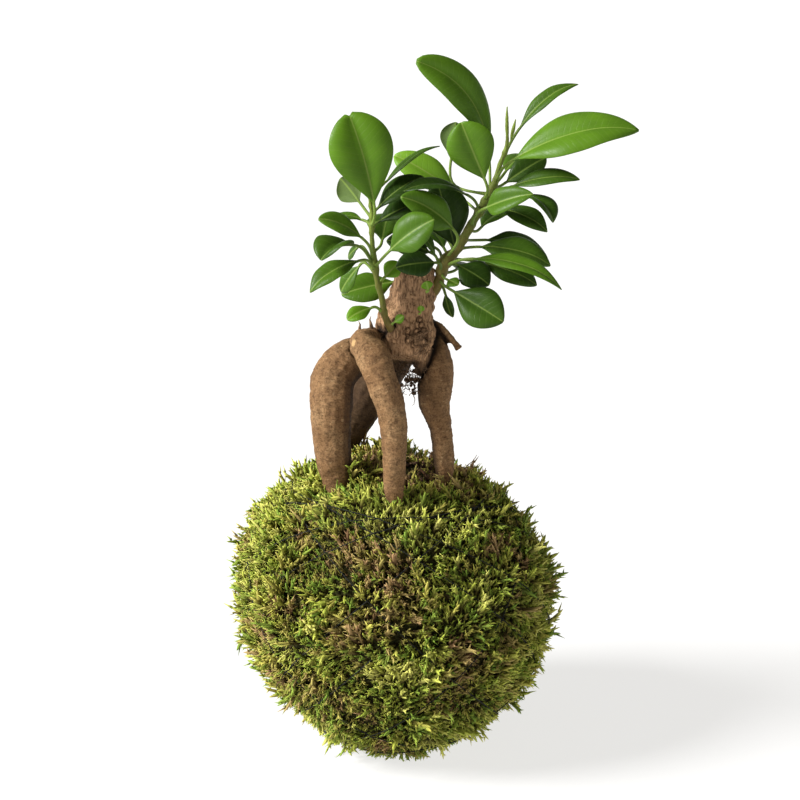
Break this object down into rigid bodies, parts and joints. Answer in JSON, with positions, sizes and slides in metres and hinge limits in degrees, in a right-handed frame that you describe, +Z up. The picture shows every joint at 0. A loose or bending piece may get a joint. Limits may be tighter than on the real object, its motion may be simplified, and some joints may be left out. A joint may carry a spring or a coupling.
{
  "type": "kokedama moss ball plant",
  "caption": "Small ficus with a swollen, leg-like root standing in a moss-covered soil ball bound with dark thread.",
  "frame": {"origin": "middle of the flat spot at the bottom of the moss ball, where it rests", "axes": "+Z up, -Y towards the front of the plant, +X to the right seen from the front"},
  "size_m": [0.1654, 0.1327, 0.2965],
  "materials": {
    "soil": "dark, crumbly, moist peat soil",
    "moss": "living feather moss, matt, yellow-green tips over deep green and brown",
    "thread": "dark twisted cotton thread, matt",
    "bark": "thin grey-brown bark with fine rings and pale flecks, matt",
    "young_bark": "olive-brown young bark turning green towards the tips, satin",
    "bud": "thin pale green bud sheath, satin",
    "leaf": "thick glossy green leaf with a pale midrib and a paler, duller underside",
    "sprout_leaf": "fresh bright green young leaf, satin"
  },
  "bodies": {
    "root": {"soil_ball": "soil", "moss_cover": "moss", "binding_thread": "thread", "trunk": "bark", "left_shoot": "young_bark", "right_shoot": "young_bark", "right_shoot_bud": "bud", "left_leaf_01": "leaf", "left_leaf_02": "leaf", "left_leaf_03": "leaf", "left_leaf_04": "leaf", "left_leaf_05": "leaf", "left_leaf_06": "leaf", "left_leaf_07": "leaf", "left_leaf_08": "leaf", "left_leaf_09": "leaf", "left_leaf_10": "leaf", "left_leaf_11": "leaf", "left_leaf_12": "leaf", "left_leaf_13": "leaf", "left_leaf_14": "leaf", "left_leaf_15": "leaf", "left_leaf_16": "leaf", "middle_leaf_01": "leaf", "middle_leaf_02": "leaf", "middle_leaf_03": "leaf", "middle_leaf_04": "leaf", "middle_leaf_05": "leaf", "middle_leaf_06": "leaf", "middle_leaf_07": "leaf", "middle_leaf_08": "leaf", "middle_leaf_09": "leaf", "middle_leaf_10": "leaf", "right_leaf_01": "leaf", "right_leaf_02": "leaf", "right_leaf_03": "leaf", "right_leaf_04": "leaf", "right_leaf_05": "leaf", "right_leaf_06": "leaf", "right_leaf_07": "leaf", "right_leaf_08": "leaf", "right_leaf_09": "leaf", "right_leaf_10": "leaf", "right_leaf_11": "leaf", "right_leaf_12": "leaf", "right_leaf_13": "leaf", "right_leaf_14": "leaf", "right_leaf_15": "leaf", "right_leaf_16": "leaf", "right_leaf_17": "leaf", "right_leaf_18": "leaf", "right_leaf_19": "leaf", "right_leaf_20": "leaf", "right_leaf_21": "leaf", "sprout_01": "sprout_leaf", "sprout_02": "sprout_leaf", "sprout_03": "sprout_leaf"}
  },
  "joints": []
}
